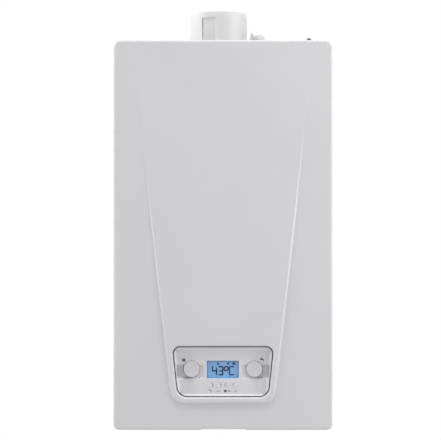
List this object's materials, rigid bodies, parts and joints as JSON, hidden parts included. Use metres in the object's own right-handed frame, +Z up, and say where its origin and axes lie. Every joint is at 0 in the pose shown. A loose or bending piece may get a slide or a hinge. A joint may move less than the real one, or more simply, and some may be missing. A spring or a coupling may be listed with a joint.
{
  "type": "combi boiler",
  "caption": "Wall-hung white combi boiler with a tapered raised front, a dished control panel with display and knobs, and a round flue turret on top.",
  "frame": {"origin": "centre of the wall bracket's face that lies on the wall", "axes": "+X to the right of someone facing the boiler, +Y into the wall, +Z up; the front looks along -Y"},
  "size_m": [0.393, 0.285, 0.7654],
  "materials": {
    "white_enamel": "semi-gloss powder coat, cool white",
    "galvanised_steel": "plain galvanised sheet",
    "zinc_screw": "bright zinc",
    "flue_white": "satin white polypropylene",
    "flue_pipe_white": "satin polypropylene",
    "cap_grey": "matte mid grey",
    "cap_black": "matte black",
    "vessel_red": "gloss red paint",
    "exchanger_black": "heat-resistant dark grey paint",
    "stainless": "stainless, fine brushed",
    "cast_aluminium": "as-cast, shot blasted",
    "ceramic_white": "glazed ceramic",
    "black_plastic": "fine textured black",
    "copper": "drawn copper, lightly dulled",
    "brass": "turned and forged brass",
    "grey_hose": "flexible grey hose",
    "grey_plastic": "natural grey moulding",
    "cast_grey": "painted casting",
    "red_plastic": "red moulding",
    "blue_plastic": "blue moulding",
    "fascia_grey": "satin light grey",
    "dark_box": "dark grey moulding",
    "circuit_green": "solder mask green",
    "lcd_blue": "backlit light blue",
    "clear_pane": "clear acrylic",
    "knob_grey": "satin light grey",
    "button_grey": "satin light grey"
  },
  "bodies": {
    "casing": {"side_panel_left": "white_enamel", "side_panel_right": "white_enamel", "top_plate": "white_enamel", "bottom_plate": "galvanised_steel", "back_frame": "galvanised_steel", "wall_bracket": "galvanised_steel", "flue_turret": "flue_white", "flue_inner_pipe": "flue_pipe_white", "test_point_cap": "cap_grey", "vessel_valve_cap": "cap_black", "expansion_vessel": "vessel_red", "vessel_hose": "grey_hose", "heat_exchanger_shell": "exchanger_black", "exchanger_coil": "stainless", "burner_tube": "stainless", "burner_door": "cast_aluminium", "premix_manifold": "cast_aluminium", "ignition_electrode": "ceramic_white", "flame_electrode": "ceramic_white", "fan_housing": "cast_aluminium", "fan_motor": "black_plastic", "air_gas_venturi": "black_plastic", "gas_valve": "cast_aluminium", "gas_supply_pipe": "copper", "gas_injection_pipe": "stainless", "flow_pipe": "copper", "return_pipe": "copper", "condensate_hose": "grey_hose", "siphon_trap": "grey_plastic", "pump_volute": "cast_grey", "pump_motor": "black_plastic", "air_vent": "brass", "plate_heat_exchanger": "stainless", "flow_manifold": "brass", "return_manifold": "brass", "diverter_actuator": "black_plastic", "safety_valve": "brass", "heating_flow_tail": "brass", "hot_water_tail": "brass", "gas_tail": "brass", "cold_water_tail": "brass", "heating_return_tail": "brass"},
    "front_cover": {"front_cover": "white_enamel", "cover_screw_left": "zinc_screw", "cover_screw_right": "zinc_screw"},
    "control_panel": {"control_fascia": "fascia_grey", "control_box": "dark_box", "control_box_cover": "dark_box", "main_board": "circuit_green", "lcd_display": "lcd_blue", "lcd_window": "clear_pane"},
    "heating_knob": {"heating_knob": "knob_grey"},
    "hot_water_knob": {"hot_water_knob": "knob_grey"},
    "button_return": {"button_return": "button_grey"},
    "button_minus": {"button_minus": "button_grey"},
    "button_plus": {"button_plus": "button_grey"},
    "button_confirm": {"button_confirm": "button_grey"},
    "fan_impeller": {"fan_impeller": "stainless"},
    "safety_valve_knob": {"safety_valve_knob": "red_plastic"},
    "filling_tap_knob": {"filling_tap_knob": "blue_plastic"}
  },
  "joints": [
    {"name": "cover_slide", "type": "slide", "parent": "casing", "child": "front_cover", "axis": [0, -1, 0], "range_m": [0, 0.42]},
    {"name": "panel_hinge", "type": "hinge", "parent": "casing", "child": "control_panel", "pos_m": [0, -0.252, -0.59], "axis": [1, 0, 0], "range_deg": [0, 85]},
    {"name": "heating_knob_turn", "type": "hinge", "parent": "control_panel", "child": "heating_knob", "pos_m": [-0.0563, -0.278, -0.5308], "axis": [0, 1, 0], "range_deg": [-135, 135]},
    {"name": "hot_water_knob_turn", "type": "hinge", "parent": "control_panel", "child": "hot_water_knob", "pos_m": [0.0563, -0.278, -0.5308], "axis": [0, 1, 0], "range_deg": [-135, 135]},
    {"name": "button_return_press", "type": "slide", "parent": "control_panel", "child": "button_return", "axis": [0, 1, 0], "range_m": [0, 0.001], "stiffness_N_per_m": 500, "springref_m": -0.0005},
    {"name": "button_minus_press", "type": "slide", "parent": "control_panel", "child": "button_minus", "axis": [0, 1, 0], "range_m": [0, 0.001], "stiffness_N_per_m": 500, "springref_m": -0.0005},
    {"name": "button_plus_press", "type": "slide", "parent": "control_panel", "child": "button_plus", "axis": [0, 1, 0], "range_m": [0, 0.001], "stiffness_N_per_m": 500, "springref_m": -0.0005},
    {"name": "button_confirm_press", "type": "slide", "parent": "control_panel", "child": "button_confirm", "axis": [0, 1, 0], "range_m": [0, 0.001], "stiffness_N_per_m": 500, "springref_m": -0.0005},
    {"name": "fan_spin", "type": "hinge", "parent": "casing", "child": "fan_impeller", "pos_m": [0.011, -0.21, -0.355], "axis": [0, 1, 0], "continuous": true},
    {"name": "safety_valve_turn", "type": "hinge", "parent": "casing", "child": "safety_valve_knob", "pos_m": [0.095, -0.16, -0.557], "axis": [0, 1, 0], "range_deg": [0, 90]},
    {"name": "filling_tap_turn", "type": "hinge", "parent": "casing", "child": "filling_tap_knob", "pos_m": [0.065, -0.134, -0.625], "axis": [0, 0, 1], "range_deg": [0, 90]}
  ],
  "couplings": [
    {"joint": "panel_hinge", "follows": "cover_slide", "rad_per_m": 3.5}
  ]
}
